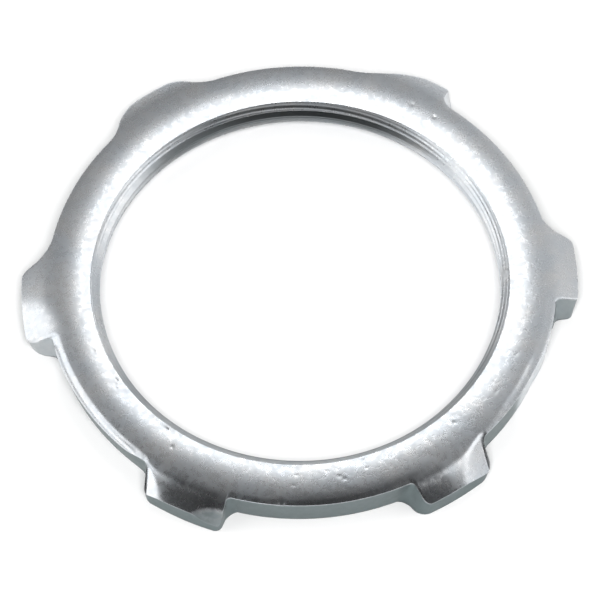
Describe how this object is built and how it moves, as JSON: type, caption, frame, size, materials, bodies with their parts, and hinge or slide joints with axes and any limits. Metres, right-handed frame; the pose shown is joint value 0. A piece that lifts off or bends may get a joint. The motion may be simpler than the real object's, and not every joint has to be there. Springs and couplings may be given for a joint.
{
  "type": "conduit locknut",
  "caption": "Crowned steel conduit locknut with outward lugs and a straight pipe thread, screwed up against a box wall.",
  "frame": {"origin": "centre of the seat, the flat plane that the rim and the lugs' undersides share, on the thread's axis", "axes": "+Z along the thread's axis, out through the chamfered mouth and the crowned face; +X through the middle of one lug"},
  "size_m": [0.0792, 0.0734, 0.0055],
  "materials": {
    "zinc_plate": "bright zinc plating, satin with small dents and pits"
  },
  "bodies": {
    "root": {"locknut": "zinc_plate"}
  },
  "joints": []
}
